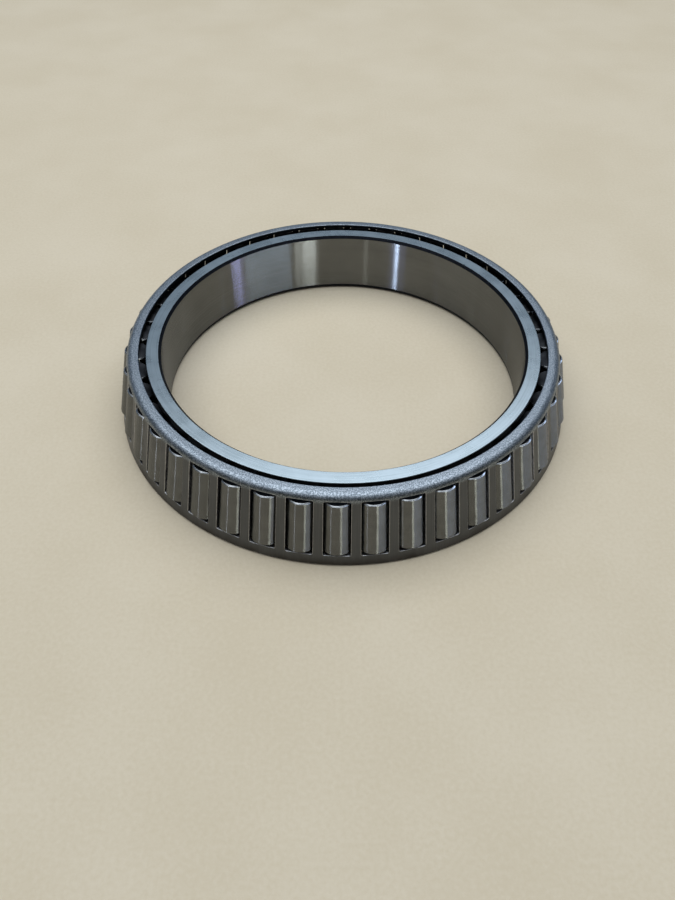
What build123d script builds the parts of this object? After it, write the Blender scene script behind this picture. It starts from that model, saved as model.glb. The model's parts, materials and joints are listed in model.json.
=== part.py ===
from build123d import *
import os
from math import asin, cos, degrees, pi, radians, sin, tan

# Inner ring assembly of a large, thin-section tapered roller bearing: the inner ring,
# a pressed steel cage and the tapered rollers it carries. Millimetres and degrees.
# The ring's back face lies on the XY plane, the bearing axis is +Z, and the small ends
# of the rollers point up.

# Inner ring
BORE_DIAMETER = 146.05
RING_WIDTH = 28.575
BACK_CORNER_RADIUS = 2.2        # bore corner at the back face, clears a shaft shoulder's fillet
FRONT_CHAMFER_RADIAL = 0.95     # bore corner at the front face
FRONT_CHAMFER_AXIAL = 1.05
SMALL_RIB_DIAMETER = 157.8      # keeps the rollers on the ring
LARGE_RIB_DIAMETER = 171.6      # guides the rollers' large ends
RIB_CORNER = 0.3
BACK_OUTER_CHAMFER = 0.8
UNDERCUT_RADIUS = 0.45          # grinding relief where the raceway meets each rib

# Rollers
ROLLER_COUNT = 43
CUP_ANGLE = 13.87               # half-angle of the cone that the rollers touch on the outside
ENVELOPE_RADIUS = 89.92         # that cone's radius ...
ENVELOPE_DEPTH = 10.8           # ... at this depth below the front face
ROLLER_MID_RADIUS = 5.25
ROLLER_ABOVE_MID = 9.35         # from the point of mean radius to the roller's small end
ROLLER_BELOW_MID = 12.05        # from that point to its large end
ROLLER_SMALL_CHAMFER = 0.4
ROLLER_LARGE_ROUND = 0.6
ROLLER_CLEARANCE = 0.15         # between a roller and the raceway, and a roller and the large rib
SMALL_RIB_GAP = 0.4             # between a roller's small end and the small rib

# Cage
SHEET = 1.6
CAGE_OUTER_OFFSET = 4.1         # wall's outer face, measured outward from the roller axes
CAGE_BEND_RADIUS = 3.0          # outside of the bend into the flange
CAGE_TOP = 29.8
CAGE_BOTTOM = 0.69              # height of the wall's lower outer edge
FLANGE_INNER_RADIUS = 81.5
FLANGE_EDGE_ROUND = 0.35
CAGE_EDGE_ROUND = 0.25
WINDOW_TOP_MARGIN = 1.0         # from a roller's small end to the window's edge
WINDOW_BOTTOM_MARGIN = 1.0      # from its large end
WINDOW_TOP_WIDTH = 9.32
WINDOW_BOTTOM_WIDTH = 9.76
WINDOW_CORNER = 0.6
WINDOW_CUT_DEPTH = 7.0

# All the rolling cones share one apex on the bearing axis. A point beside a roller axis
# is given by its distance from the apex along that axis and its offset outward from it.
slant = ENVELOPE_RADIUS / sin(radians(CUP_ANGLE))
apex_z = RING_WIDTH - ENVELOPE_DEPTH + ENVELOPE_RADIUS / tan(radians(CUP_ANGLE))
roller_half_angle = asin(ROLLER_MID_RADIUS / slant)
tilt = radians(CUP_ANGLE) - roller_half_angle
raceway_angle = tilt - roller_half_angle
mid_distance = slant * cos(roller_half_angle)
small_end = mid_distance - ROLLER_ABOVE_MID
large_end = mid_distance + ROLLER_BELOW_MID


def section_point(distance, offset):
    """Radius and height of a point beside the roller axis."""
    radius = distance * sin(tilt) + offset * cos(tilt)
    height = apex_z - distance * cos(tilt) + offset * sin(tilt)
    return radius, height


def end_plane_height(distance, radius):
    """Height, at a given radius, of the plane that crosses the roller axis at right angles."""
    centre_radius, centre_height = section_point(distance, 0)
    return centre_height + (radius - centre_radius) * tan(tilt)


def raceway_point(distance):
    """Point of the raceway where the plane at that distance crosses it."""
    offset = -distance * tan(roller_half_angle) - ROLLER_CLEARANCE
    return section_point(distance, offset)


def roller_azimuth(index):
    """Angle of a roller about the bearing axis, in radians."""
    return 2 * pi * index / ROLLER_COUNT


os.makedirs("parts", exist_ok=True)

# ---------------------------------------------------------------- inner ring
bore_radius = BORE_DIAMETER / 2
small_rib_radius = SMALL_RIB_DIAMETER / 2
large_rib_radius = LARGE_RIB_DIAMETER / 2
small_rib_plane = small_end - SMALL_RIB_GAP
large_rib_plane = large_end + ROLLER_CLEARANCE
raceway_top = raceway_point(small_rib_plane)
raceway_bottom = raceway_point(large_rib_plane)
small_rib_foot = (small_rib_radius, end_plane_height(small_rib_plane, small_rib_radius))
large_rib_crest = (large_rib_radius, end_plane_height(large_rib_plane, large_rib_radius))

with BuildPart() as inner_ring:
    with BuildSketch(Plane.XZ) as ring_section:
        with BuildLine():
            Polyline(
                (bore_radius, 0),
                (large_rib_radius, 0),
                large_rib_crest,
                raceway_bottom,
                raceway_top,
                small_rib_foot,
                (small_rib_radius, RING_WIDTH),
                (bore_radius + FRONT_CHAMFER_RADIAL, RING_WIDTH),
                (bore_radius, RING_WIDTH - FRONT_CHAMFER_AXIAL),
                close=True,
            )
        make_face()
        back_bore_corner = ring_section.vertices().sort_by_distance((bore_radius, 0))[0]
        fillet(back_bore_corner, BACK_CORNER_RADIUS)
        back_outer_corner = ring_section.vertices().sort_by_distance((large_rib_radius, 0))[0]
        chamfer(back_outer_corner, BACK_OUTER_CHAMFER)
        for crest in (large_rib_crest, small_rib_foot, (small_rib_radius, RING_WIDTH)):
            corner = ring_section.vertices().sort_by_distance(crest)[0]
            fillet(corner, RIB_CORNER)
        with Locations(raceway_bottom, raceway_top):
            Circle(UNDERCUT_RADIUS, mode=Mode.SUBTRACT)
    revolve(axis=Axis.Z)
inner_ring.part.label = "inner_ring"
export_step(inner_ring.part, "parts/inner_ring.step")

# ---------------------------------------------------------------------- cage
# The sheet's outer face runs parallel to the roller axes, turns through the bend and ends
# in a flat flange. The bend's centre lies one bend radius inside both faces.
bend_height = CAGE_TOP - CAGE_BEND_RADIUS
bend_offset = CAGE_OUTER_OFFSET - CAGE_BEND_RADIUS
bend_distance = (apex_z + bend_offset * sin(tilt) - bend_height) / cos(tilt)
bend_radius, _ = section_point(bend_distance, bend_offset)
edge_distance = (apex_z + CAGE_OUTER_OFFSET * sin(tilt) - CAGE_BOTTOM) / cos(tilt)
wall_top_outer = section_point(bend_distance, CAGE_OUTER_OFFSET)
wall_top_inner = section_point(bend_distance, CAGE_OUTER_OFFSET - SHEET)
wall_foot_outer = section_point(edge_distance, CAGE_OUTER_OFFSET)
wall_foot_inner = section_point(edge_distance, CAGE_OUTER_OFFSET - SHEET)
inner_bend = CAGE_BEND_RADIUS - SHEET
bend_turn = 90 - degrees(tilt)

window_top = ROLLER_ABOVE_MID + WINDOW_TOP_MARGIN
window_bottom = -ROLLER_BELOW_MID - WINDOW_BOTTOM_MARGIN


def roller_frame(index):
    """Point of a roller's mean radius on its axis, with the outward and sideways directions."""
    azimuth = roller_azimuth(index)
    radius, height = section_point(mid_distance, 0)
    origin = (radius * cos(azimuth), radius * sin(azimuth), height)
    outward = (cos(tilt) * cos(azimuth), cos(tilt) * sin(azimuth), sin(tilt))
    sideways = (-sin(azimuth), cos(azimuth), 0)
    return origin, outward, sideways


def window_plane(index):
    """Plane through a roller axis, facing outward, with its y direction up the axis."""
    origin, outward, sideways = roller_frame(index)
    return Plane(origin=origin, x_dir=sideways, z_dir=outward)


with BuildPart() as cage:
    with BuildSketch(Plane.XZ) as cage_section:
        with BuildLine():
            Line((FLANGE_INNER_RADIUS, CAGE_TOP), (bend_radius, CAGE_TOP))
            CenterArc((bend_radius, bend_height), CAGE_BEND_RADIUS, 90, -bend_turn)
            Line(wall_top_outer, wall_foot_outer)
            Line(wall_foot_outer, wall_foot_inner)
            Line(wall_foot_inner, wall_top_inner)
            CenterArc((bend_radius, bend_height), inner_bend, degrees(tilt), bend_turn)
            Line((bend_radius, CAGE_TOP - SHEET), (FLANGE_INNER_RADIUS, CAGE_TOP - SHEET))
            Line((FLANGE_INNER_RADIUS, CAGE_TOP - SHEET), (FLANGE_INNER_RADIUS, CAGE_TOP))
        make_face()
        flange_lip = cage_section.vertices().sort_by_distance((FLANGE_INNER_RADIUS, CAGE_TOP))[0]
        fillet(flange_lip, FLANGE_EDGE_ROUND)
        for foot in (wall_foot_outer, wall_foot_inner):
            corner = cage_section.vertices().sort_by_distance(foot)[0]
            fillet(corner, CAGE_EDGE_ROUND)
    revolve(axis=Axis.Z)
    with BuildSketch(*[window_plane(index) for index in range(ROLLER_COUNT)]):
        with BuildLine():
            Polyline(
                (-WINDOW_TOP_WIDTH / 2, window_top),
                (WINDOW_TOP_WIDTH / 2, window_top),
                (WINDOW_BOTTOM_WIDTH / 2, window_bottom),
                (-WINDOW_BOTTOM_WIDTH / 2, window_bottom),
                close=True,
            )
        window = make_face()
        fillet(window.vertices(), WINDOW_CORNER)
    extrude(amount=WINDOW_CUT_DEPTH, mode=Mode.SUBTRACT)
cage.part.label = "cage"
export_step(cage.part, "parts/cage.step")

# ------------------------------------------------------------------- rollers
small_corner = (small_end * tan(roller_half_angle), ROLLER_ABOVE_MID)
large_corner = (large_end * tan(roller_half_angle), -ROLLER_BELOW_MID)

for index in range(ROLLER_COUNT):
    origin, outward, sideways = roller_frame(index)
    backward = tuple(-component for component in sideways)
    section_plane = Plane(origin=origin, x_dir=outward, z_dir=backward)
    with BuildPart() as roller:
        with BuildSketch(section_plane) as roller_section:
            with BuildLine():
                Polyline(
                    (0, -ROLLER_BELOW_MID),
                    (0, ROLLER_ABOVE_MID),
                    small_corner,
                    large_corner,
                    close=True,
                )
            make_face()
            fillet(roller_section.vertices().sort_by_distance(large_corner)[0], ROLLER_LARGE_ROUND)
            chamfer(roller_section.vertices().sort_by_distance(small_corner)[0], ROLLER_SMALL_CHAMFER)
        revolve(axis=Axis(section_plane.origin, section_plane.y_dir))
    name = f"roller_{index + 1:02d}"
    roller.part.label = name
    export_step(roller.part, f"parts/{name}.step")
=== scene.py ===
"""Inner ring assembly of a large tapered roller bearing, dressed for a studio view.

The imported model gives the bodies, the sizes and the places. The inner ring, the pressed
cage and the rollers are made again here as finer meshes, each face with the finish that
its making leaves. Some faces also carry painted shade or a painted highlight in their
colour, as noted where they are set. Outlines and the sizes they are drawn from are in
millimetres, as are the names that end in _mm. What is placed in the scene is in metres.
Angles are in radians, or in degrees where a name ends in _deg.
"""

import json
import logging
import math
import random
from dataclasses import dataclass, field
from enum import Enum
from typing import Any, Mapping, Optional, Sequence

import bmesh
import bpy
from mathutils import Euler, Matrix, Vector

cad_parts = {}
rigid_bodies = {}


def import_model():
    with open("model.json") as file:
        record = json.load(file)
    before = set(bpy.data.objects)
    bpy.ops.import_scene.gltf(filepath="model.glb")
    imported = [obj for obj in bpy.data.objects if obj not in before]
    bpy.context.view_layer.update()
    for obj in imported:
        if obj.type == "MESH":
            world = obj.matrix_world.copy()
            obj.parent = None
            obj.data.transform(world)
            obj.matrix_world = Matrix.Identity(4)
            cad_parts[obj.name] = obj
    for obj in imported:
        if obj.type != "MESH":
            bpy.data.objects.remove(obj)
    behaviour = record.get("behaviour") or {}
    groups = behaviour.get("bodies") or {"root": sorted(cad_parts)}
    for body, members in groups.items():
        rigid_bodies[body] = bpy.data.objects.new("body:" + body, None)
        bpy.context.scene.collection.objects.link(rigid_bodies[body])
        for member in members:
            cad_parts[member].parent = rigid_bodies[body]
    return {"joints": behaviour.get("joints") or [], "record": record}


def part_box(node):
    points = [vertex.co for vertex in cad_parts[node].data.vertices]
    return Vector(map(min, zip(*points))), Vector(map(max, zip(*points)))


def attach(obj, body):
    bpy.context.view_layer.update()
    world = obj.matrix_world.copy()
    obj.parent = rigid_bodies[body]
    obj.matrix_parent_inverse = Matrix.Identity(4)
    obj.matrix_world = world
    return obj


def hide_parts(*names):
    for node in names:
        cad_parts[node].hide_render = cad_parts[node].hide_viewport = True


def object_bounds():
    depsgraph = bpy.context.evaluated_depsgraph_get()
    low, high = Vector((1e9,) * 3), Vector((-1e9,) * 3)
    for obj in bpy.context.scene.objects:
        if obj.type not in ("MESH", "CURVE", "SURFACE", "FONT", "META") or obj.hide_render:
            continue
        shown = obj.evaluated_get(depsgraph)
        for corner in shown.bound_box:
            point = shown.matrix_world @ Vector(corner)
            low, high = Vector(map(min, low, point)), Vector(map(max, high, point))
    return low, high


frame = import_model()
CAD_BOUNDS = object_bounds()

LOG = logging.getLogger("bearing")
MM = 0.001
ON_AXIS = 1e-7
SAME_PLACE = 2e-6

Point = tuple[float, float]
Node = bpy.types.Node
Tree = bpy.types.NodeTree


# --------------------------------------------------------------------------- colour, nodes
def linear(code: str) -> tuple[float, float, float, float]:
    """Turn an sRGB hex colour into linear red, green, blue and alpha.

    Args:
        code: Six hex digits after a hash sign.

    Returns:
        The linear colour, with an alpha of one.
    """
    channels = [int(code[i:i + 2], 16) / 255 for i in (1, 3, 5)]
    lin = [c / 12.92 if c <= 0.04045 else ((c + 0.055) / 1.055) ** 2.4 for c in channels]
    return (lin[0], lin[1], lin[2], 1.0)


def add_node(
    tree: Tree,
    kind: str,
    settings: Optional[Mapping[Any, Any]] = None,
    links: Optional[Mapping[Any, Any]] = None,
) -> Node:
    """Add a node, give it its settings and link its inputs.

    Args:
        tree: The node tree that gets the node.
        kind: The node's type name.
        settings: Values for the node's properties, by name, and for its input sockets, by
            number, or by name where no property has that name.
        links: What feeds the inputs, by their number or name: an output socket, or a node,
            which gives the first of its outputs that is in use.

    Returns:
        The new node.
    """
    node = tree.nodes.new(kind)
    for key, value in (settings or {}).items():
        if isinstance(key, str) and hasattr(node, key):
            setattr(node, key, value)
        else:
            node.inputs[key].default_value = value
    for key, source in (links or {}).items():
        if isinstance(source, bpy.types.Node):
            source = next(output for output in source.outputs if output.enabled)
        tree.links.new(source, node.inputs[key])
    return node


def new_material(name: str) -> tuple[bpy.types.Material, Tree]:
    """Make an empty node material.

    Args:
        name: The material's name.

    Returns:
        The material and its node tree, with no nodes in it.
    """
    material = bpy.data.materials.new(name)
    material.use_nodes = True
    material.node_tree.nodes.clear()
    return material, material.node_tree


class TurnedCoordinates:
    """Places on a turned piece: direction about its axis, radius, height and along its section."""

    def __init__(self, tree: Tree) -> None:
        """Add the nodes that work the places out from the piece's own coordinates.

        Args:
            tree: The material's node tree.
        """
        self.tree = tree
        self.place = add_node(tree, "ShaderNodeTexCoord").outputs["Object"]
        flat = add_node(
            tree, "ShaderNodeVectorMath", {"operation": "MULTIPLY", 1: (1, 1, 0)}, {0: self.place}
        )
        self.radius = add_node(tree, "ShaderNodeVectorMath", {"operation": "LENGTH"}, {0: flat})
        self.around = add_node(tree, "ShaderNodeVectorMath", {"operation": "NORMALIZE"}, {0: flat})
        split = add_node(tree, "ShaderNodeSeparateXYZ", links={0: self.place})
        self.height = split.outputs["Z"]
        self.section = add_node(
            tree, "ShaderNodeMath", {"operation": "ADD"}, {0: self.radius, 1: self.height}
        )

    def streaks(self, radius_mm: float, around_mm: float, section_mm: float) -> Node:
        """Give a noise that is stretched around the axis or along the section.

        Args:
            radius_mm: Radius at which the sizes hold.
            around_mm: Size of the noise's features around the axis.
            section_mm: Size of its features along the piece's section.

        Returns:
            The noise's node, which gives 0 to 1.
        """
        rise = add_node(
            self.tree,
            "ShaderNodeMath",
            {"operation": "MULTIPLY", 1: 1 / (section_mm * MM)},
            {0: self.section},
        )
        lift = add_node(self.tree, "ShaderNodeCombineXYZ", links={"Z": rise})
        turns = radius_mm / around_mm
        vector = add_node(
            self.tree,
            "ShaderNodeVectorMath",
            {"operation": "MULTIPLY_ADD", 1: (turns, turns, 0)},
            {0: self.around, 2: lift},
        )
        return add_node(
            self.tree,
            "ShaderNodeTexNoise",
            {"Scale": 1.0, "Detail": 3.0, "Roughness": 0.6},
            {"Vector": vector},
        )

    def mottle(self, size_mm: float, detail: float = 3.0) -> Node:
        """Give an even noise.

        Args:
            size_mm: Size of its features.
            detail: How many finer layers it has.

        Returns:
            The noise's node, which gives 0 to 1.
        """
        return add_node(
            self.tree,
            "ShaderNodeTexNoise",
            {"Scale": 1 / (size_mm * MM), "Detail": detail, "Roughness": 0.55},
            {"Vector": self.place},
        )


# -------------------------------------------------------------------------------- finishes
# Noise stays mostly between these two values, so they are the ends of an eased range.
EASED = {"interpolation_type": "SMOOTHSTEP", "From Min": 0.3, "From Max": 0.7}
WHOLE = {"interpolation_type": "SMOOTHSTEP", "From Min": 0.0, "From Max": 1.0}


@dataclass(frozen=True)
class GroundSteel:
    """Steel ground, honed or sheared so that its marks run round the piece's axis.

    The wheel leaves fine lines around the axis. They smear every light into a band across
    them, and they leave it sharp along them. On the finest ground faces some of the shine
    is drawn out much further than the rest, which is what streak gives.
    """

    name: str
    light: str
    dark: str
    roughness: float
    anisotropy: float
    radius_mm: float
    line_mm: float
    line_length_mm: float
    line_depth_mm: float
    mottle_mm: float
    unevenness: float
    wave_mm: float = 6.0
    wave_depth_mm: float = 0.0
    piece_tone: float = 0.0
    streak: float = 0.0
    streak_roughness: float = 0.17
    streak_stretch: float = 0.9
    line_share: float = 0.6
    tone_start: float = 0.35
    tone_end: float = 0.62

    def material(self) -> bpy.types.Material:
        """Build the finish.

        Returns:
            The material.
        """
        material, tree = new_material(self.name)
        where = TurnedCoordinates(tree)
        lines = where.streaks(self.radius_mm, self.line_length_mm, self.line_mm)
        patches = where.mottle(self.mottle_mm)
        tone = add_node(
            tree,
            "ShaderNodeMix",
            {"data_type": "FLOAT", 0: 1 - self.line_share},
            {2: lines, 3: patches},
        )
        share = add_node(
            tree,
            "ShaderNodeMapRange",
            {**EASED, "From Min": self.tone_start, "From Max": self.tone_end},
            {"Value": tone},
        )
        colour = add_node(
            tree,
            "ShaderNodeMix",
            {"data_type": "RGBA", 6: linear(self.dark), 7: linear(self.light)},
            {0: share},
        )
        if self.piece_tone:
            chance = add_node(tree, "ShaderNodeObjectInfo").outputs["Random"]
            darker = add_node(
                tree, "ShaderNodeMapRange", {**WHOLE, "To Max": self.piece_tone}, {"Value": chance}
            )
            colour = add_node(
                tree,
                "ShaderNodeMix",
                {"data_type": "RGBA", 7: linear(self.dark)},
                {0: darker, 6: colour},
            )
        low, high = self.roughness - self.unevenness, self.roughness + self.unevenness
        rough = add_node(
            tree,
            "ShaderNodeMapRange",
            {**EASED, "To Min": low, "To Max": high},
            {"Value": patches},
        )
        waves = add_node(
            tree,
            "ShaderNodeBump",
            {"Strength": 1.0, "Distance": self.wave_depth_mm * MM},
            {"Height": where.mottle(self.wave_mm, 1.0)},
        )
        lay = add_node(
            tree,
            "ShaderNodeBump",
            {"Strength": 1.0, "Distance": self.line_depth_mm * MM},
            {"Height": lines, "Normal": waves},
        )
        around = add_node(tree, "ShaderNodeTangent", {"direction_type": "RADIAL", "axis": "Z"})
        shine = add_node(
            tree,
            "ShaderNodeBsdfPrincipled",
            {
                "Metallic": 1.0,
                "Anisotropic": self.anisotropy,
                "Anisotropic Rotation": 0.25,
            },
            {"Base Color": colour, "Roughness": rough, "Normal": lay, "Tangent": around},
        )
        if self.streak:
            streaks = add_node(
                tree,
                "ShaderNodeBsdfAnisotropic",
                {
                    "distribution": "GGX",
                    "Roughness": self.streak_roughness,
                    "Anisotropy": self.streak_stretch,
                },
                {"Color": colour, "Normal": lay, "Tangent": around},
            )
            shine = add_node(
                tree,
                "ShaderNodeMixShader",
                {0: self.streak},
                {1: shine, 2: streaks},
            )
        add_node(tree, "ShaderNodeOutputMaterial", links={"Surface": shine})
        return material


@dataclass(frozen=True)
class TurnedSteel:
    """Bearing steel that was turned before hardening and never ground.

    The furnace leaves a dull dark skin on the corners, and their colour is darkened further as
    painted shade of the dark they mirror and of the shade at the floor, so they read as dark
    lines.
    """

    name: str
    light: str
    dark: str
    roughness: float
    mottle_mm: float
    mottle_depth_mm: float
    unevenness: float = 0.06

    def material(self) -> bpy.types.Material:
        """Build the finish.

        Returns:
            The material.
        """
        material, tree = new_material(self.name)
        where = TurnedCoordinates(tree)
        patches = where.mottle(self.mottle_mm)
        share = add_node(tree, "ShaderNodeMapRange", EASED, {"Value": patches})
        colour = add_node(
            tree,
            "ShaderNodeMix",
            {"data_type": "RGBA", 6: linear(self.dark), 7: linear(self.light)},
            {0: share},
        )
        low, high = self.roughness - self.unevenness, self.roughness + self.unevenness
        rough = add_node(
            tree,
            "ShaderNodeMapRange",
            {**EASED, "To Min": low, "To Max": high},
            {"Value": patches},
        )
        dents = add_node(
            tree,
            "ShaderNodeBump",
            {"Strength": 1.0, "Distance": self.mottle_depth_mm * MM},
            {"Height": patches},
        )
        shine = add_node(
            tree,
            "ShaderNodeBsdfPrincipled",
            {"Metallic": 1.0},
            {"Base Color": colour, "Roughness": rough, "Normal": dents},
        )
        add_node(tree, "ShaderNodeOutputMaterial", links={"Surface": shine})
        return material


@dataclass(frozen=True)
class PressedSheet:
    """Low-carbon steel strip, drawn over a punch and tumbled with grit.

    The wall stays satin grey with faint draw marks that run up it. The bend and the flange
    are peened by the grit, and are given a lighter, bluer colour with bright specks: a painted
    highlight with painted glints. Towards the foot the colour darkens to a brown painted shade.
    """

    name: str
    wall_light: str
    wall_dark: str
    # The bead's two colours are a painted highlight, with painted glints between them.
    bead_painted_glint: str
    bead_painted_sheen: str
    # A painted shade, laid on towards the foot.
    painted_foot_shade: str
    wall_roughness: float
    bead_roughness: float
    radius_mm: float
    draw_mark_mm: float
    draw_length_mm: float
    speck_mm: float
    speck_depth_mm: float
    bead_start_mm: float
    bead_end_mm: float
    painted_shade_top_mm: float
    cloud_mm: float
    wall_bump: float
    speck_start: float = 0.4
    speck_end: float = 0.66
    least_painted_shade: float = 0.35
    unevenness: float = 0.04

    def material(self) -> bpy.types.Material:
        """Build the finish.

        Returns:
            The material.
        """
        material, tree = new_material(self.name)
        where = TurnedCoordinates(tree)
        marks = where.streaks(self.radius_mm, self.draw_mark_mm, self.draw_length_mm)
        specks = where.mottle(self.speck_mm, 2.0)
        clouds = where.mottle(self.cloud_mm)
        bead = add_node(
            tree,
            "ShaderNodeMapRange",
            {**WHOLE, "From Min": self.bead_start_mm * MM, "From Max": self.bead_end_mm * MM},
            {"Value": where.height},
        )
        drawn = add_node(tree, "ShaderNodeMapRange", EASED, {"Value": marks})
        wall = add_node(
            tree,
            "ShaderNodeMix",
            {"data_type": "RGBA", 6: linear(self.wall_dark), 7: linear(self.wall_light)},
            {0: drawn},
        )
        # Painted glints: bright specks in the bead's colour.
        painted_glints = add_node(
            tree,
            "ShaderNodeMapRange",
            {**EASED, "From Min": self.speck_start, "From Max": self.speck_end},
            {"Value": specks},
        )
        painted_bead = add_node(
            tree,
            "ShaderNodeMix",
            {"data_type": "RGBA", 6: linear(self.bead_painted_sheen), 7: linear(self.bead_painted_glint)},
            {0: painted_glints},
        )
        before_foot_shade = add_node(
            tree, "ShaderNodeMix", {"data_type": "RGBA"}, {0: bead, 6: wall, 7: painted_bead}
        )
        # Painted shade: the colour darkens to a brown towards the foot, in blotches.
        low = add_node(
            tree,
            "ShaderNodeMapRange",
            {**WHOLE, "From Max": self.painted_shade_top_mm * MM, "To Min": 1.0, "To Max": 0.0},
            {"Value": where.height},
        )
        blotches = add_node(
            tree, "ShaderNodeMapRange", {**EASED, "To Min": self.least_painted_shade}, {"Value": clouds}
        )
        painted_shade_share = add_node(
            tree, "ShaderNodeMath", {"operation": "MULTIPLY"}, {0: low, 1: blotches}
        )
        colour = add_node(
            tree,
            "ShaderNodeMix",
            {"data_type": "RGBA", 7: linear(self.painted_foot_shade)},
            {0: painted_shade_share, 6: before_foot_shade},
        )
        even = add_node(
            tree,
            "ShaderNodeMapRange",
            {**WHOLE, "To Min": self.wall_roughness, "To Max": self.bead_roughness},
            {"Value": bead},
        )
        drift = add_node(
            tree,
            "ShaderNodeMapRange",
            {**EASED, "To Min": -self.unevenness, "To Max": self.unevenness},
            {"Value": clouds},
        )
        rough = add_node(tree, "ShaderNodeMath", {"operation": "ADD"}, {0: even, 1: drift})
        strength = add_node(
            tree, "ShaderNodeMapRange", {**WHOLE, "To Min": self.wall_bump}, {"Value": bead}
        )
        depth = add_node(
            tree, "ShaderNodeMath", {"operation": "MULTIPLY"}, {0: specks, 1: strength}
        )
        dents = add_node(
            tree,
            "ShaderNodeBump",
            {"Strength": 1.0, "Distance": self.speck_depth_mm * MM},
            {"Height": depth},
        )
        shine = add_node(
            tree,
            "ShaderNodeBsdfPrincipled",
            {"Metallic": 1.0},
            {"Base Color": colour, "Roughness": rough, "Normal": dents},
        )
        add_node(tree, "ShaderNodeOutputMaterial", links={"Surface": shine})
        return material


@dataclass(frozen=True)
class PaperBoard:
    """Plain matt board under the bearing, pale and warm, with no shine."""

    name: str
    light: str
    dark: str
    fibre_mm: float
    fibre_depth_mm: float
    cloud_mm: float

    def material(self) -> bpy.types.Material:
        """Build the finish.

        Returns:
            The material.
        """
        material, tree = new_material(self.name)
        where = TurnedCoordinates(tree)
        fibre = where.mottle(self.fibre_mm)
        cloud = where.mottle(self.cloud_mm)
        tone = add_node(
            tree, "ShaderNodeMix", {"data_type": "FLOAT", 0: 0.5}, {2: fibre, 3: cloud}
        )
        share = add_node(tree, "ShaderNodeMapRange", EASED, {"Value": tone})
        colour = add_node(
            tree,
            "ShaderNodeMix",
            {"data_type": "RGBA", 6: linear(self.dark), 7: linear(self.light)},
            {0: share},
        )
        tufts = add_node(
            tree,
            "ShaderNodeBump",
            {"Strength": 1.0, "Distance": self.fibre_depth_mm * MM},
            {"Height": fibre},
        )
        matt = add_node(
            tree,
            "ShaderNodeBsdfPrincipled",
            {"Roughness": 0.9, "Specular IOR Level": 0.2},
            {"Base Color": colour, "Normal": tufts},
        )
        add_node(tree, "ShaderNodeOutputMaterial", links={"Surface": matt})
        return material


class Surface(Enum):
    """The kinds of face that the ring has beside its bore."""

    FACE = 0
    TURNED = 1
    RACEWAY = 2
    RIB = 3


# The wheel's real lines are some hundredths of a millimetre apart, and the tumbling grit's
# dents about a tenth. All of them are drawn several times coarser, so that they show.
# The lines run round the bore, so each lamp is drawn out into an upright band.
GROUND_BORE = GroundSteel(
    name="bearing_steel_ground_bore",
    light="#717271",
    dark="#666766",
    roughness=0.15,
    anisotropy=1.0,
    radius_mm=73.0,
    line_mm=0.3,
    line_length_mm=90.0,
    line_depth_mm=0.004,
    mottle_mm=14.0,
    unevenness=0.01,
    wave_mm=12.0,
    wave_depth_mm=0.002,
    streak=0.5,
)
# Ground coarser and flat, the face is an even pale satin.
GROUND_FACE = GroundSteel(
    name="bearing_steel_ground_face",
    light="#A2AEB5",
    dark="#8E9AA0",
    roughness=0.28,
    anisotropy=0.4,
    radius_mm=76.0,
    line_mm=0.35,
    line_length_mm=24.0,
    line_depth_mm=0.0006,
    mottle_mm=9.0,
    unevenness=0.02,
)
# Honed smooth; the raceway's colour is darkened, painted shade of what it mirrors under the
# rollers.
GROUND_RACEWAY = GroundSteel(
    name="bearing_steel_honed_raceway",
    light="#5A5A5A",
    dark="#4E4E4E",
    roughness=0.22,
    anisotropy=0.7,
    radius_mm=80.0,
    line_mm=0.2,
    line_length_mm=30.0,
    line_depth_mm=0.0003,
    mottle_mm=14.0,
    unevenness=0.03,
)
# The ribs' ground sides mirror only the gaps beside them; their near-black colour is painted
# shade.
GROUND_RIB = GroundSteel(
    name="bearing_steel_ground_rib",
    light="#343435",
    dark="#28282A",
    roughness=0.32,
    anisotropy=0.6,
    radius_mm=85.0,
    line_mm=0.3,
    line_length_mm=20.0,
    line_depth_mm=0.0005,
    mottle_mm=8.0,
    unevenness=0.05,
)
# Dull dark skin, darkened further as painted shade, so the corners frame the bright faces.
TURNED_CORNER = TurnedSteel(
    name="bearing_steel_turned_corner",
    light="#22242A",
    dark="#131418",
    roughness=0.5,
    mottle_mm=0.8,
    mottle_depth_mm=0.01,
)
# The waves stand for the slight out-of-round of each roller. They are deeper than real, and
# they bend the line of light that runs down a roller.
ROLLER_BODY = GroundSteel(
    name="bearing_steel_ground_roller",
    light="#737473",
    dark="#636463",
    roughness=0.18,
    anisotropy=1.0,
    radius_mm=5.2,
    line_mm=0.25,
    line_length_mm=40.0,
    line_depth_mm=0.001,
    mottle_mm=4.0,
    unevenness=0.015,
    wave_mm=3.5,
    wave_depth_mm=0.07,
    piece_tone=0.3,
    streak=0.5,
)
# The small end's broken edge is given a paler colour than the body, a painted highlight, so it
# shows a thin ring of light.
ROLLER_EDGE = GroundSteel(
    name="bearing_steel_tumbled_edge",
    light="#A4A6A8",
    dark="#808284",
    roughness=0.26,
    anisotropy=0.2,
    radius_mm=5.0,
    line_mm=0.3,
    line_length_mm=1.5,
    line_depth_mm=0.002,
    mottle_mm=2.0,
    unevenness=0.04,
)
# The ground ends face the shade of the gap; their dark satin colour is painted shade.
ROLLER_END = GroundSteel(
    name="bearing_steel_ground_roller_end",
    light="#3A3B3E",
    dark="#28292B",
    roughness=0.34,
    anisotropy=0.5,
    radius_mm=4.0,
    line_mm=0.25,
    line_length_mm=4.0,
    line_depth_mm=0.0004,
    mottle_mm=3.0,
    unevenness=0.04,
    piece_tone=0.3,
)
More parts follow.
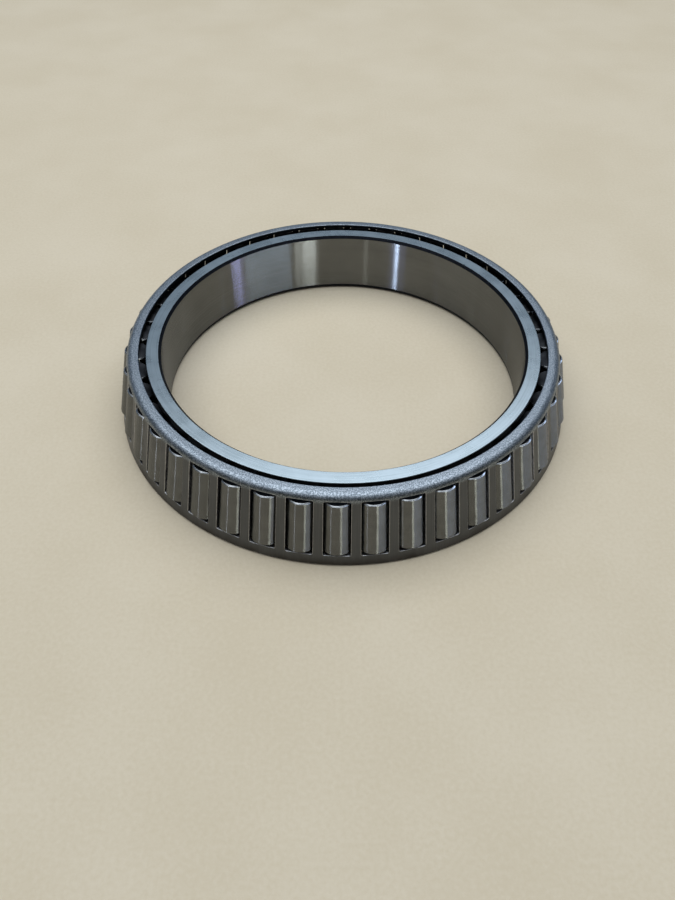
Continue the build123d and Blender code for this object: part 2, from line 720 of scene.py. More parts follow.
# The wall is an even satin grey; the peened bend above it gets a painted highlight with painted
# glints, and the foot a painted shade.
CAGE_SHEET = PressedSheet(
    name="pressed_steel_tumbled",
    wall_light="#606265",
    wall_dark="#595B5E",
    # Painted highlight and painted glints on the bead.
    bead_painted_glint="#A8B0B8",
    bead_painted_sheen="#646C74",
    # Painted shade towards the foot.
    painted_foot_shade="#38332F",
    wall_roughness=0.42,
    bead_roughness=0.40,
    radius_mm=89.0,
    draw_mark_mm=0.5,
    draw_length_mm=12.0,
    speck_mm=0.42,
    speck_depth_mm=0.025,
    bead_start_mm=26.4,
    bead_end_mm=28.2,
    painted_shade_top_mm=5.0,
    cloud_mm=9.0,
    wall_bump=0.25,
)
# Sheared by the window punch, the cut is given a pale colour, a painted highlight, so it outlines
# each window.
CAGE_CUT = GroundSteel(
    name="pressed_steel_sheared_edge",
    light="#D4D4D6",
    dark="#909092",
    roughness=0.36,
    anisotropy=0.2,
    radius_mm=89.0,
    line_mm=0.3,
    line_length_mm=1.2,
    line_depth_mm=0.004,
    mottle_mm=0.8,
    unevenness=0.06,
)
# The flange's blanked lip is given a dull dark colour, painted shade, so it draws a dark line
# round the opening.
CAGE_LIP = GroundSteel(
    name="pressed_steel_blanked_lip",
    light="#3C3E42",
    dark="#26282C",
    roughness=0.45,
    anisotropy=0.2,
    radius_mm=82.0,
    line_mm=0.3,
    line_length_mm=3.0,
    line_depth_mm=0.004,
    mottle_mm=1.5,
    unevenness=0.05,
)
# Real fibres are a few hundredths of a millimetre thick. They are drawn as tufts.
BOARD = PaperBoard(
    name="pale_board",
    light="#D2C5AE",
    dark="#CABCA3",
    fibre_mm=1.4,
    fibre_depth_mm=0.04,
    cloud_mm=60.0,
)


# ---------------------------------------------------------------------------- mesh helpers
@dataclass
class Section:
    """A closed or open outline, in radius and height in millimetres, to turn round an axis."""

    points: list[Point] = field(default_factory=list)
    surfaces: list[int] = field(default_factory=list)

    def corner(self, point: Point, surface: int) -> None:
        """Add a point and name the surface that leads to it.

        Args:
            point: Radius and height.
            surface: Number of the surface between the last point and this one.
        """
        self.points.append(point)
        self.surfaces.append(surface)

    def rounded(
        self, before: Point, corner: Point, after: Point, radius: float, steps: int,
        approach: int, bend: int,
    ) -> None:
        """Add a rounded corner.

        Args:
            before: A point on the straight that comes to the corner.
            corner: The sharp corner.
            after: A point on the straight that leaves it.
            radius: Radius of the rounding.
            steps: Number of edges in it.
            approach: Number of the surface that leads to the rounding.
            bend: Number of the rounding's own surface.
        """
        into = (Vector(before) - Vector(corner)).normalized()
        out = (Vector(after) - Vector(corner)).normalized()
        half = into.angle(out) / 2
        reach = radius / math.tan(half)
        centre = Vector(corner) + (into + out).normalized() * (radius / math.sin(half))
        first = Vector(corner) + into * reach - centre
        last = Vector(corner) + out * reach - centre
        sweep = first.angle_signed(last)
        for step in range(steps + 1):
            turned = first.copy()
            turned.rotate(Matrix.Rotation(-sweep * step / steps, 2))
            place = centre + turned
            self.corner((place.x, place.y), approach if step == 0 else bend)


def turned_mesh(name: str, section: Section, turns: int, closed: bool) -> bpy.types.Mesh:
    """Turn a section round the Z axis.

    Args:
        name: The mesh's name.
        section: The outline.
        turns: Number of steps round the axis.
        closed: True if the last point joins the first one.

    Returns:
        The mesh, with its material numbers taken from the section's surfaces.
    """
    mesh = bpy.data.meshes.new(name)
    shape = bmesh.new()
    rings = []
    for radius_mm, height_mm in section.points:
        radius, height = radius_mm * MM, height_mm * MM
        if radius < ON_AXIS:
            rings.append([shape.verts.new((0, 0, height))] * turns)
            continue
        angles = (2 * math.pi * i / turns for i in range(turns))
        places = ((radius * math.cos(a), radius * math.sin(a), height) for a in angles)
        rings.append([shape.verts.new(place) for place in places])
    count = len(rings)
    for i in range(count if closed else count - 1):
        low, high = rings[i], rings[(i + 1) % count]
        surface = section.surfaces[(i + 1) % count]
        for j in range(turns):
            k = (j + 1) % turns
            corners = list(dict.fromkeys((low[j], low[k], high[k], high[j])))
            face = shape.faces.new(corners)
            face.material_index = surface
            face.smooth = True
    bmesh.ops.recalc_face_normals(shape, faces=shape.faces)
    shape.to_mesh(mesh)
    shape.free()
    return mesh


def place_piece(
    name: str, mesh: bpy.types.Mesh, body: str, node: str, place: Optional[Matrix] = None
) -> bpy.types.Object:
    """Put a finished mesh in the scene, on its body and in the place of its CAD node.

    Args:
        name: The piece's name.
        mesh: Its mesh, with materials.
        body: The body it rides on.
        node: The CAD node it stands for.
        place: Where the mesh stands, or None for the origin.

    Returns:
        The piece.
    """
    piece = bpy.data.objects.new(name, mesh)
    bpy.context.scene.collection.objects.link(piece)
    if place is not None:
        piece.matrix_world = place
    smooth = piece.modifiers.new("even_shading", "WEIGHTED_NORMAL")
    smooth.weight = 60  # large faces lead, so that flats stay flat beside small roundings
    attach(piece, body)
    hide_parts(node)
    return piece


# -------------------------------------------------------------------------- inner ring
@dataclass
class RollerCone:
    """The cone on which the rollers' axes lie, which the ring and the cage also follow.

    All the rolling surfaces share one apex on the bearing axis. The envelope is the cone
    that the rollers touch on the outside. Distances run from the apex along a roller axis.
    """

    width_mm: float
    envelope_deg: float = 13.87
    envelope_radius_mm: float = 89.92
    envelope_depth_mm: float = 10.8
    mid_radius_mm: float = 5.25
    above_mid_mm: float = 9.35
    below_mid_mm: float = 12.05

    def __post_init__(self) -> None:
        """Work out the rollers' half angle, tilt and middle, and the apex's height."""
        envelope = math.radians(self.envelope_deg)
        slant = self.envelope_radius_mm / math.sin(envelope)
        self.half_angle = math.asin(self.mid_radius_mm / slant)
        self.tilt = envelope - self.half_angle
        self.mid_mm = slant * math.cos(self.half_angle)
        rise = self.envelope_radius_mm / math.tan(envelope)
        self.apex_mm = self.width_mm - self.envelope_depth_mm + rise

    def section_point(self, distance_mm: float, offset_mm: float) -> Point:
        """Give the radius and height of a point beside a roller axis.

        Args:
            distance_mm: Distance from the apex along the axis.
            offset_mm: Distance outward from the axis.

        Returns:
            Radius and height, in millimetres.
        """
        radius = distance_mm * math.sin(self.tilt) + offset_mm * math.cos(self.tilt)
        height = self.apex_mm - distance_mm * math.cos(self.tilt) + offset_mm * math.sin(self.tilt)
        return radius, height

    def roller_radius(self, distance_mm: float) -> float:
        """Give a roller's radius at a distance from the apex, in millimetres."""
        return distance_mm * math.tan(self.half_angle)


@dataclass
class InnerRing:
    """The hardened ring with its bore, its raceway and the two ribs."""

    cone: RollerCone
    bore_radius_mm: float
    small_rib_mm: float = 78.9
    large_rib_mm: float = 85.8
    back_corner_mm: float = 2.2
    back_chamfer_mm: float = 0.8
    front_chamfer_mm: Point = (0.95, 1.05)
    rib_corner_mm: float = 0.3
    undercut_mm: float = 0.45
    undercut_steps: int = 10
    edge_break_mm: float = 0.14
    clearance_mm: float = 0.15
    small_gap_mm: float = 0.4
    lining_mm: float = 0.3
    turns: int = 516

    def rib_height(self, distance_mm: float, radius_mm: float) -> float:
        """Give the height, at a radius, of the plane that crosses the roller axis squarely."""
        radius, height = self.cone.section_point(distance_mm, 0)
        return height + (radius_mm - radius) * math.tan(self.cone.tilt)

    def raceway_point(self, distance_mm: float) -> Point:
        """Give the raceway's radius and height at a distance from the apex."""
        reach = -self.cone.roller_radius(distance_mm) - self.clearance_mm
        return self.cone.section_point(distance_mm, reach)

    def undercut(
        self, section: Section, before: Point, corner: Point, after: Point, approach: Surface
    ) -> None:
        """Add the relief groove in a corner of the raceway.

        Args:
            section: The outline that gets it.
            before: A point on the straight that comes to the corner.
            corner: The corner, which is the groove's centre.
            after: A point on the straight that leaves it.
            approach: The surface that leads to the groove.
        """
        start = math.atan2(before[1] - corner[1], before[0] - corner[0])
        end = math.atan2(after[1] - corner[1], after[0] - corner[0])
        sweep = (end - start) % (2 * math.pi)
        for step in range(self.undercut_steps + 1):
            angle = start + sweep * step / self.undercut_steps
            point = (
                corner[0] + self.undercut_mm * math.cos(angle),
                corner[1] + self.undercut_mm * math.sin(angle),
            )
            surface = approach if step == 0 else Surface.TURNED
            section.corner(point, surface.value)

    def section(self) -> Section:
        """Draw the ring's outline, from the bore's foot outward and round.

        Returns:
            The outline, in millimetres.
        """
        bore, top = self.bore_radius_mm, self.cone.width_mm
        small_plane = self.cone.mid_mm - self.cone.above_mid_mm - self.small_gap_mm
        large_plane = self.cone.mid_mm + self.cone.below_mid_mm + self.clearance_mm
        race_top, race_foot = self.raceway_point(small_plane), self.raceway_point(large_plane)
        crest = (self.large_rib_mm, self.rib_height(large_plane, self.large_rib_mm))
        foot = (self.small_rib_mm, self.rib_height(small_plane, self.small_rib_mm))
        back_face = (self.large_rib_mm - self.back_chamfer_mm, 0.0)
        back_side = (self.large_rib_mm, self.back_chamfer_mm)
        painted_bead = (self.small_rib_mm, top)
        chamfer_face = (bore + self.front_chamfer_mm[0], top)
        chamfer_bore = (bore, top - self.front_chamfer_mm[1])
        bore_foot = (bore, 0.0)
        face, turned, rib = Surface.FACE.value, Surface.TURNED.value, Surface.RIB.value
        line = Section()
        line.rounded(chamfer_bore, bore_foot, back_face, self.back_corner_mm, 8, turned, turned)
        line.rounded(bore_foot, back_face, back_side, self.edge_break_mm, 2, face, turned)
        line.rounded(back_face, back_side, crest, self.edge_break_mm, 2, turned, turned)
        line.rounded(back_side, crest, race_foot, self.rib_corner_mm, 4, rib, rib)
        self.undercut(line, crest, race_foot, race_top, Surface.RIB)
        self.undercut(line, race_foot, race_top, foot, Surface.RACEWAY)
        line.rounded(race_top, foot, painted_bead, self.rib_corner_mm, 4, rib, rib)
        line.rounded(foot, painted_bead, chamfer_face, self.rib_corner_mm, 4, rib, face)
        line.rounded(painted_bead, chamfer_face, chamfer_bore, self.edge_break_mm, 2, face, turned)
        line.rounded(chamfer_face, chamfer_bore, bore_foot, self.edge_break_mm, 2, turned, turned)
        return line

    def build(self) -> list[bpy.types.Object]:
        """Build and dress the ring, with its ground bore as a thin lining let into it.

        Returns:
            The lining and the ring.
        """
        line = self.section()
        bore, behind = self.bore_radius_mm, self.bore_radius_mm + self.lining_mm
        foot, head = line.points[0][1], line.points[-1][1]
        line.corner((behind, head), Surface.TURNED.value)
        line.corner((behind, foot), Surface.TURNED.value)
        lining = Section()
        for place in ((bore, foot), (behind, foot), (behind, head), (bore, head)):
            lining.corner(place, 0)
        sleeve = turned_mesh("inner_ring_bore", lining, self.turns, True)
        sleeve.materials.append(GROUND_BORE.material())
        bore_piece = place_piece("bore_ground", sleeve, "ring_body", "inner_ring")
        mesh = turned_mesh("inner_ring_turned", line, self.turns, True)
        finishes = {
            Surface.FACE: GROUND_FACE,
            Surface.TURNED: TURNED_CORNER,
            Surface.RACEWAY: GROUND_RACEWAY,
            Surface.RIB: GROUND_RIB,
        }
        for surface in Surface:
            mesh.materials.append(finishes[surface].material())
        ring_piece = place_piece("ring_ground", mesh, "ring_body", "inner_ring")
        return [bore_piece, ring_piece]


# ------------------------------------------------------------------------------- rollers
@dataclass
class RollerSet:
    """The tapered rollers, which share one mesh and each ride on a body of their own."""

    cone: RollerCone
    small_chamfer_mm: float = 0.4
    large_round_mm: float = 0.6
    edge_break_mm: float = 0.1
    turns: int = 96
    seed: int = 43

    def mesh(self) -> bpy.types.Mesh:
        """Turn one roller about its own Z axis, with its small end up.

        Returns:
            The mesh, with the materials of its body, its ends and its small end's edge.
        """
        top, foot = self.cone.above_mid_mm, -self.cone.below_mid_mm
        small = self.cone.roller_radius(self.cone.mid_mm - top)
        large = self.cone.roller_radius(self.cone.mid_mm - foot)
        small_side = (small, top - self.small_chamfer_mm)
        small_face = (small - self.small_chamfer_mm, top)
        large_edge = (large, foot)
        body, end, edge = 0, 1, 2
        line = Section()
        line.corner((0.0, foot), end)
        line.corner((large * 0.5, foot), end)
        line.rounded((0.0, foot), large_edge, small_side, self.large_round_mm, 6, end, body)
        line.rounded(large_edge, small_side, small_face, self.edge_break_mm, 3, body, edge)
        line.rounded(small_side, small_face, (0.0, top), self.edge_break_mm, 3, edge, edge)
        line.corner((small * 0.5, top), end)
        line.corner((0.0, top), end)
        mesh = turned_mesh("roller_turned", line, self.turns, False)
        for finish in (ROLLER_BODY, ROLLER_END, ROLLER_EDGE):
            mesh.materials.append(finish.material())
        return mesh

    def build(self, joints: Sequence[Mapping[str, Any]]) -> list[bpy.types.Object]:
        """Place a roller at each of the rollers' joints.

        Args:
            joints: The joints that turn a roller.

        Returns:
            The pieces.
        """
        mesh = self.mesh()
        chance = random.Random(self.seed)
        pieces = []
        for joint in joints:
            number = joint["name"].split("_")[1]
            axis = Vector(joint["axis"]).normalized()
            spun = Matrix.Rotation(chance.uniform(0, 2 * math.pi), 4, "Z")
            leaned = axis.to_track_quat("Z", "Y").to_matrix().to_4x4()
            place = Matrix.Translation(joint["pos_m"]) @ leaned @ spun
            name, node = f"roller_ground_{number}", f"roller_{number}"
            pieces.append(place_piece(name, mesh, joint["child"], node, place))
        return pieces


# --------------------------------------------------------------------------------- cage
class Side(Enum):
    """The two faces of the cage's sheet."""

    OUTER = 0
    INNER = 1


@dataclass
class Cage:
    """The pressed cage: a wall with a window for each roller, a bend and a flat flange."""

    cone: RollerCone
    count: int
    top_mm: float
    foot_mm: float = 0.69
    sheet_mm: float = 1.6
    outer_offset_mm: float = 4.1
    bend_mm: float = 3.0
    flange_radius_mm: float = 81.5
    lip_round_mm: float = 0.35
    foot_round_mm: float = 0.25
    window_margin_mm: float = 1.0
    window_top_width_mm: float = 9.32
    window_foot_width_mm: float = 9.76
    window_corner_mm: float = 0.6
    edge_mm: float = 0.15
    edge_middle: float = 0.293
    rim_outer_deg: float = 24.0
    rim_inner_deg: float = 42.0
    rim_foot_mm: float = 1.3
    corner_steps: int = 4
    end_steps: int = 8
    side_steps: int = 14
    frame_steps: int = 3
    frame_power: float = 0.8
    bend_steps: int = 10
    search_steps: int = 12

    def __post_init__(self) -> None:
        """Work out where the bend starts, how far it turns and where the windows end."""
        tilt = self.cone.tilt
        self.bend_offset = self.outer_offset_mm - self.bend_mm
        rise = self.cone.apex_mm + self.bend_offset * math.sin(tilt) - (self.top_mm - self.bend_mm)
        self.bend_distance = rise / math.cos(tilt)
        self.bend_turn = math.pi / 2 - tilt
        self.half_pitch = math.pi / self.count
        self.window_top_mm = self.cone.above_mid_mm + self.window_margin_mm
        self.window_foot_mm = -self.cone.below_mid_mm - self.window_margin_mm

    def reach(self, side: Side) -> float:
        """Give the bend's radius on a side of the sheet, in millimetres."""
        return self.bend_mm if side is Side.OUTER else self.bend_mm - self.sheet_mm

    def on_section(self, side: Side, run_mm: float) -> Point:
        """Give the place of a point on the sheet's section.

        Args:
            side: The side of the sheet.
            run_mm: How far it is up the section from the bend's start.

        Returns:
            Radius and height, in millimetres.
        """
        radius = self.reach(side)
        if run_mm <= 0:
            return self.cone.section_point(self.bend_distance - run_mm, self.bend_offset + radius)
        turn = min(run_mm / radius, self.bend_turn)
        distance = self.bend_distance - radius * math.sin(turn)
        bent = self.cone.section_point(distance, self.bend_offset + radius * math.cos(turn))
        return bent[0] - max(0.0, run_mm - radius * self.bend_turn), bent[1]

    def on_window(self, side: Side, across_mm: float, up_mm: float) -> tuple[float, float, float]:
        """Find where a line through a point of the window's plane meets the sheet.

        Args:
            side: The side of the sheet.
            across_mm: The point's place across the window.
            up_mm: Its place up the roller axis from the roller's middle.

        Returns:
            The height above the window's plane, the angle about the bearing axis and the run
            up the section from the bend's start.
        """
        tilt = self.cone.tilt
        radius = self.reach(side)
        lift = self.bend_offset + radius
        for _ in range(self.search_steps):
            near, height = self.cone.section_point(self.cone.mid_mm - up_mm, lift)
            far = math.hypot(near, across_mm)
            drop = height - self.cone.apex_mm
            distance = far * math.sin(tilt) - drop * math.cos(tilt)
            offset = far * math.cos(tilt) + drop * math.sin(tilt)
            past = max(0.0, self.bend_distance - distance)
            wanted = self.bend_offset + math.sqrt(radius**2 - past**2)
            lift += wanted - offset
        run = radius * math.asin(past / radius) if past else self.bend_distance - distance
        return lift, math.atan2(across_mm, near), run

    def outline(self, grow_mm: float) -> list[Point]:
        """Draw the window in its plane, clockwise from its upper left corner.

        Args:
            grow_mm: How much larger than the window the outline is all round.

        Returns:
            The outline's points, across and up.
        """
        lean = (self.window_foot_width_mm - self.window_top_width_mm) / 2
        lean /= self.window_top_mm - self.window_foot_mm
        top = self.window_top_mm + grow_mm
        foot = self.window_foot_mm - grow_mm
        half_top = self.window_top_width_mm / 2 + grow_mm - lean * grow_mm
        half_foot = self.window_foot_width_mm / 2 + grow_mm + lean * grow_mm
        corners = [(-half_top, top), (half_top, top), (half_foot, foot), (-half_foot, foot)]
        radius = self.window_corner_mm + grow_mm
        arcs = []
        for i in range(4):
            arc = Section()
            arc.rounded(corners[i - 1], corners[i], corners[(i + 1) % 4], radius,
                        self.corner_steps, 0, 0)
            arcs.append(arc.points)
        points = []
        for i, steps in enumerate((self.end_steps, self.side_steps) * 2):
            start, end = Vector(arcs[i][-1]), Vector(arcs[(i + 1) % 4][0])
            points += arcs[i]
            points += [tuple(start.lerp(end, step / steps)) for step in range(1, steps)]
        return points

    def rim(self, side: Side, angles: Sequence[Point]) -> list[Point]:
        """Give the edge of one window's share of the sheet, point for point with its outline.

        Args:
            side: The side of the sheet.
            angles: Angle and run of the outline's points on that side.

        Returns:
            Angle and run of the edge's points.
        """
        radius = self.reach(side)
        turn_deg = self.rim_outer_deg if side is Side.OUTER else self.rim_inner_deg
        top = radius * math.radians(turn_deg)
        foot = self.bend_distance - self.cone.mid_mm + self.window_foot_mm - self.rim_foot_mm
        arc, end, long = self.corner_steps, self.end_steps, self.side_steps
        edge = []
        start = 0
        for quarter in range(4):
            across_end = quarter % 2 == 0
            level = top if quarter in (0, 1) else foot
            side_sign = 1 if quarter in (1, 2) else -1
            corner = (side_sign * self.half_pitch, level)
            first, last = angles[start], angles[start + arc]
            if across_end:
                side_point, end_point = first, last
            else:
                side_point, end_point = last, first
            flank = [(corner[0], side_point[1]), (corner[0], (side_point[1] + level) / 2)]
            tip = [((corner[0] + end_point[0]) / 2, level), (end_point[0], level)]
            turn = flank + [corner] + tip
            edge += turn if across_end else turn[::-1]
            steps = end if across_end else long
            for step in range(1, steps):
                point = angles[start + arc + step]
                if across_end:
                    edge.append((point[0], level))
                else:
                    edge.append((side_sign * self.half_pitch, point[1]))
            start += arc + steps
        return edge

    def solid_point(self, angle: float, place: Point) -> Vector:
        """Give a point on the sheet, in metres, from its angle and its section place."""
        radius, height = place[0] * MM, place[1] * MM
        return Vector((radius * math.cos(angle), radius * math.sin(angle), height))

    def cut_point(self, across_mm: float, up_mm: float, lift_mm: float) -> Vector:
        """Give a point on a window's cut face, in metres, from its place in the window."""
        near, height = self.cone.section_point(self.cone.mid_mm - up_mm, lift_mm)
        return Vector((near * MM, across_mm * MM, height * MM))

    def cut_row(self, side: Optional[Side], part: float, sink: float) -> list[Vector]:
        """Make one loop of points down a window's cut face, with its broken edges.

        Args:
            side: The face of the sheet that it is near, or None for halfway between them.
            part: How far the edge's break widens the window there, as a share of the break.
            sink: How far the loop lies under that face, as a share of the break.

        Returns:
            The loop's points.
        """
        row = []
        for x, y in self.outline(self.edge_mm * part):
            outer, inner = (self.on_window(face, x, y)[0] for face in Side)
            lift = (outer + inner) / 2
            if side is Side.OUTER:
                lift = outer - self.edge_mm * sink
            elif side is Side.INNER:
                lift = inner + self.edge_mm * sink
            row.append(self.cut_point(x, y, lift))
        return row

    def loops(self) -> tuple[list[list[Vector]], list[int], list[Point], list[Point]]:
        """Make the loops of points round one window, from the outer face to the inner one.

        Returns:
            The loops, the material number between each loop and the next, and the outer and
            inner edges of this window's share of the sheet.
        """
        rims, frames = [], []
        grown = self.outline(self.edge_mm)
        for side in Side:
            hits = [self.on_window(side, x, y) for x, y in grown]
            angles = [(hit[1], hit[2]) for hit in hits]
            rim = self.rim(side, angles)
            rims.append(rim)
            rows = []
            for step in range(self.frame_steps + 1):
                share = (step / self.frame_steps) ** self.frame_power
                row = []
                for (a0, r0), (a1, r1) in zip(rim, angles):
                    angle = a0 + (a1 - a0) * share
                    run = r0 + (r1 - r0) * share
                    row.append(self.solid_point(angle, self.on_section(side, run)))
                rows.append(row)
            frames.append(rows)
        middle = self.edge_middle
        cuts = [
            self.cut_row(Side.OUTER, middle, middle),
            self.cut_row(Side.OUTER, 0.0, 1.0),
            self.cut_row(None, 0.0, 0.0),
            self.cut_row(Side.INNER, 0.0, 1.0),
            self.cut_row(Side.INNER, middle, middle),
        ]
        sheet, cut = [0] * self.frame_steps, [1] * (len(cuts) + 1)
        loops = frames[0] + cuts + frames[1][::-1]
        return loops, sheet + cut + sheet, rims[0], rims[1]

    def follow(self, section: Section, side: Side, start_mm: float, end_mm: float) -> None:
        """Take an outline along one side of the bent sheet.

        Args:
            section: The outline.
            side: The side of the sheet.
            start_mm: Run up the section at which it starts.
            end_mm: Run at which it ends.
        """
        for step in range(self.bend_steps + 1):
            run = start_mm + (end_mm - start_mm) * step / self.bend_steps
            section.corner(self.on_section(side, run), 0)

    def band(
        self, top: bool, rims: tuple[list[Point], list[Point]]
    ) -> tuple[list[list[Vector]], list[int]]:
        """Make the rows that join the outer and the inner face over the flange or the foot.

        Args:
            top: True for the bend and the flange, False for the foot.
            rims: The outer and inner edges of one window's share of the sheet.

        Returns:
            The rows, from the outer face to the inner one, and the material number that leads
            to each.
        """
        arc, end, long = self.corner_steps, self.end_steps, self.side_steps
        half = arc // 2
        total = 2 * (end + long) + 4 * arc
        if top:
            picked = range(half, half + half + end + half + 1)
        else:
            start = arc + end + arc + long + half
            picked = range(start, start + half + end + half + 1)
        outer = [rims[0][i % total] for i in picked]
        level_outer, level_inner = outer[0][1], rims[1][picked[0]][1]
        section = Section()
        if top:
            lip = self.flange_radius_mm
            high, low = self.top_mm, self.top_mm - self.sheet_mm
            self.follow(section, Side.OUTER, level_outer, self.reach(Side.OUTER) * self.bend_turn)
            deep = lip + self.sheet_mm
            section.rounded((deep, high), (lip, high), (lip, low), self.lip_round_mm, 4, 0, 0)
            section.rounded((lip, high), (lip, low), (deep, low), self.edge_mm, 2, 2, 2)
            self.follow(section, Side.INNER, self.reach(Side.INNER) * self.bend_turn, level_inner)
        else:
            tilt = self.cone.tilt
            edge = self.cone.apex_mm + self.outer_offset_mm * math.sin(tilt) - self.foot_mm
            edge /= math.cos(tilt)
            outside = self.cone.section_point(edge, self.outer_offset_mm)
            inside = self.cone.section_point(edge, self.outer_offset_mm - self.sheet_mm)
            outer_start = self.on_section(Side.OUTER, level_outer)
            inner_start = self.on_section(Side.INNER, level_inner)
            section.corner(outer_start, 0)
            section.rounded(outer_start, outside, inside, self.foot_round_mm, 4, 0, 0)
            section.rounded(outside, inside, inner_start, self.foot_round_mm, 4, 0, 0)
            section.corner(inner_start, 0)
        rows = [[self.solid_point(angle, place) for angle, _ in outer] for place in section.points]
        return rows, section.surfaces

    def mesh(self) -> bpy.types.Mesh:
        """Build the cage's mesh, one window's share at a time.

        Returns:
            The mesh, which expects the sheet's material, the windows' cut faces' and the lip's.
        """
        loops, materials, outer_rim, inner_rim = self.loops()
        rims = (outer_rim, inner_rim)
        bands = [self.band(True, rims), self.band(False, rims)]
        shape = bmesh.new()
        for index in range(self.count):
            turn = Matrix.Rotation(2 * self.half_pitch * index, 3, "Z")
            rows = [[shape.verts.new(turn @ point) for point in loop] for loop in loops]
            for i, material in enumerate(materials):
                for j in range(len(rows[i])):
                    k = (j + 1) % len(rows[i])
                    corners = (rows[i][j], rows[i][k], rows[i + 1][k], rows[i + 1][j])
                    face = shape.faces.new(corners)
                    face.material_index = material
            for strip, surfaces in bands:
                rows = [[shape.verts.new(turn @ point) for point in row] for row in strip]
                for i in range(len(rows) - 1):
                    near, far = rows[i], rows[i + 1]
                    for j in range(len(near) - 1):
                        face = shape.faces.new((near[j], far[j], far[j + 1], near[j + 1]))
                        face.material_index = surfaces[i + 1]
        bmesh.ops.remove_doubles(shape, verts=shape.verts, dist=SAME_PLACE)
        bmesh.ops.recalc_face_normals(shape, faces=shape.faces)
        for face in shape.faces:
            face.smooth = True
        mesh = bpy.data.meshes.new("cage_pressed")
        shape.to_mesh(mesh)
        shape.free()
        return mesh

    def build(self) -> bpy.types.Object:
        """Build and dress the cage.

        Returns:
            The piece.
        """
        mesh = self.mesh()
        for finish in (CAGE_SHEET, CAGE_CUT, CAGE_LIP):
            mesh.materials.append(finish.material())
        return place_piece("cage_pressing", mesh, "cage_body", "cage")


# ------------------------------------------------------------------------------- studio
@dataclass(frozen=True)
class Panel:
    """A soft light panel that faces the bearing.

    A panel with shows_in gives reflections only, and only in pieces whose names start with
    that. It stands for one of the room's lamps or windows.
    """

    name: str
    azimuth_deg: float
    width: float
    radiance: float
    colour: str
    shows_in: str = ""
    elevation_deg: float = 15.0
    distance: float = 1.4
    height: float = 0.9

    def build(self, centre: Vector) -> None:
        """Add the light.

        Args:
            centre: The point that the panel faces. Its azimuth is from -Y toward +X there.
        """
        azimuth, elevation = math.radians(self.azimuth_deg), math.radians(self.elevation_deg)
        away = Vector((
            math.sin(azimuth) * math.cos(elevation),
            -math.cos(azimuth) * math.cos(elevation),
            math.sin(elevation),
        ))
        lamp = bpy.data.lights.new(self.name, "AREA")
        lamp.shape = "RECTANGLE"
        lamp.size = self.width
        lamp.size_y = self.height
        lamp.energy = self.radiance * math.pi * self.width * self.height
        lamp.color = linear(self.colour)[:3]
        holder = bpy.data.objects.new(self.name, lamp)
        holder.location = centre + away * self.distance
        holder.rotation_euler = away.to_track_quat("Z", "Y").to_euler()
        holder.visible_camera = False
        holder.visible_diffuse = not self.shows_in
        bpy.context.scene.collection.objects.link(holder)
        if self.shows_in:
            shown = bpy.data.collections.new(f"{self.name}_shown_in")
            for piece in bpy.data.objects:
                if piece.name.startswith(self.shows_in):
                    shown.objects.link(piece)
            holder.light_linking.receiver_collection = shown


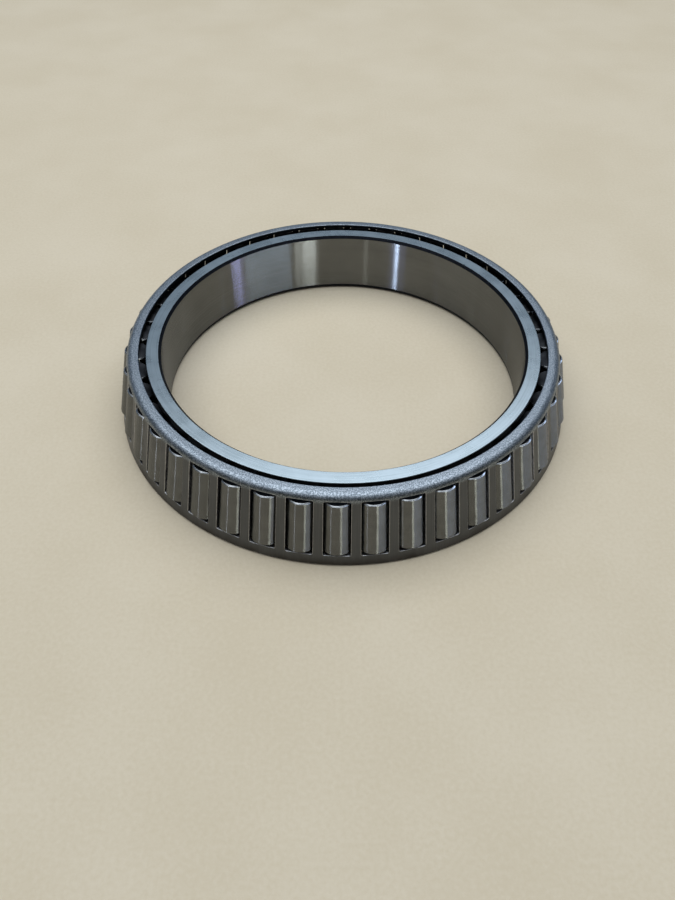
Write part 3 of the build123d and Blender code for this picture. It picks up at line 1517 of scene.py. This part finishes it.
@dataclass
class Studio:
    """The floor, the lights, the room's tone and the camera."""

    eye_mm: tuple[float, float, float] = (-5.35, -243.40, 222.78)
    pitch_deg: float = 42.784
    roll_deg: float = -0.215
    heading_deg: float = -0.548
    lens_mm: float = 30.4
    sensor_mm: float = 36.0
    floor_size: float = 12.0
    room_front: str = "#33312E"
    room_back: str = "#7D8DA0"
    room_above: str = "#AEB6BE"
    panels: tuple[Panel, ...] = (
        Panel("sky_panel", 197, 2.0, 2.05, "#EFF5FB", elevation_deg=82, distance=1.3, height=1.68),
        Panel("strip_left", -35.3, 0.034, 190.0, "#C8DCFF", "bore_"),
        Panel("glow_left", -36, 0.24, 4.0, "#8FA6FF", "bore_"),
        Panel("strip_faint", -15.3, 0.06, 6.0, "#F1F5EA", "bore_"),
        Panel("strip_right", 23.5, 0.34, 16.0, "#EEF5F2", "bore_"),
        Panel("strip_bright", 21.5, 0.18, 16.0, "#EEF5F2", "bore_"),
        Panel("panel_right", 49, 0.75, 15.5, "#C0DAF6", "bore_"),
        Panel("strip_side", 70.5, 0.15, 36.0, "#B9C0FF", "bore_"),
        Panel("line_left", -44, 0.05, 22.0, "#E2EAFA", "roller_"),
        Panel("line_right", 24, 0.30, 11.0, "#F1F5EA", "roller_"),
        Panel("panel_side", 72, 2.50, 4.2, "#C4D8FA", "roller_"),
    )

    def room(self) -> None:
        """Light the room: grey-blue behind the bearing, dim and warm on the camera's side."""
        world = bpy.data.worlds.new("room")
        bpy.context.scene.world = world
        world.use_nodes = True
        tree = world.node_tree
        tree.nodes.clear()
        direction = add_node(tree, "ShaderNodeTexCoord").outputs["Generated"]
        split = add_node(tree, "ShaderNodeSeparateXYZ", links={0: direction})
        behind = add_node(
            tree,
            "ShaderNodeMapRange",
            {"interpolation_type": "SMOOTHSTEP", "From Min": -0.4, "From Max": 0.8},
            {"Value": split.outputs["Y"]},
        )
        level = add_node(
            tree,
            "ShaderNodeMix",
            {"data_type": "RGBA", 6: linear(self.room_front), 7: linear(self.room_back)},
            {0: behind},
        )
        above = add_node(
            tree,
            "ShaderNodeMapRange",
            {"interpolation_type": "SMOOTHSTEP", "From Min": 0.3, "From Max": 0.9},
            {"Value": split.outputs["Z"]},
        )
        tone = add_node(
            tree,
            "ShaderNodeMix",
            {"data_type": "RGBA", 7: linear(self.room_above)},
            {0: above, 6: level},
        )
        light = add_node(tree, "ShaderNodeBackground", {"Strength": 1.0}, {"Color": tone})
        add_node(tree, "ShaderNodeOutputWorld", links={"Surface": light})

    def floor(self, height: float) -> None:
        """Lay the floor.

        Args:
            height: Its height.
        """
        half = self.floor_size / 2
        mesh = bpy.data.meshes.new("floor")
        flat = ((-half, -half), (half, -half), (half, half), (-half, half))
        corners = [(x, y, height) for x, y in flat]
        mesh.from_pydata(corners, [], [(0, 1, 2, 3)])
        mesh.materials.append(BOARD.material())
        board = bpy.data.objects.new("floor", mesh)
        bpy.context.scene.collection.objects.link(board)

    def camera(self) -> None:
        """Set up the camera, looking down at the bearing from in front."""
        lens = bpy.data.cameras.new("camera")
        lens.lens = self.lens_mm
        lens.sensor_width = self.sensor_mm
        lens.clip_start = 0.01
        lens.clip_end = 50.0
        holder = bpy.data.objects.new("camera", lens)
        holder.location = Vector(self.eye_mm) * MM
        holder.rotation_euler = Euler(
            [math.radians(a) for a in (self.pitch_deg, self.roll_deg, self.heading_deg)]
        )
        bpy.context.scene.collection.objects.link(holder)
        bpy.context.scene.camera = holder

    def build(self, low: Vector, high: Vector) -> None:
        """Build everything that isn't the bearing.

        Args:
            low: The bearing's lowest corner.
            high: Its highest corner.
        """
        self.room()
        self.floor(low.z)
        centre = (low + high) / 2
        for panel in self.panels:
            panel.build(centre)
        self.camera()
        bpy.context.scene.view_settings.view_transform = "Standard"


def main() -> None:
    """Build the bearing and its studio."""
    logging.basicConfig(level=logging.INFO, format="%(name)s: %(message)s")
    low, high = CAD_BOUNDS
    cone = RollerCone(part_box("inner_ring")[1].z / MM)
    mounts = {mount["name"]: mount for mount in frame["record"]["mounts"]}
    joints = [joint for joint in frame["joints"] if joint["name"].startswith("roller_")]
    pieces = InnerRing(cone, mounts["bore"]["dims"]["r_mm"]).build()
    pieces.append(Cage(cone, len(joints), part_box("cage")[1].z / MM).build())
    pieces += RollerSet(cone).build(joints)
    for piece in pieces:
        LOG.info("%s: %d faces", piece.name, len(piece.data.polygons))
    Studio().build(low, high)
    bpy.context.view_layer.update()


if __name__ == "__main__":
    main()
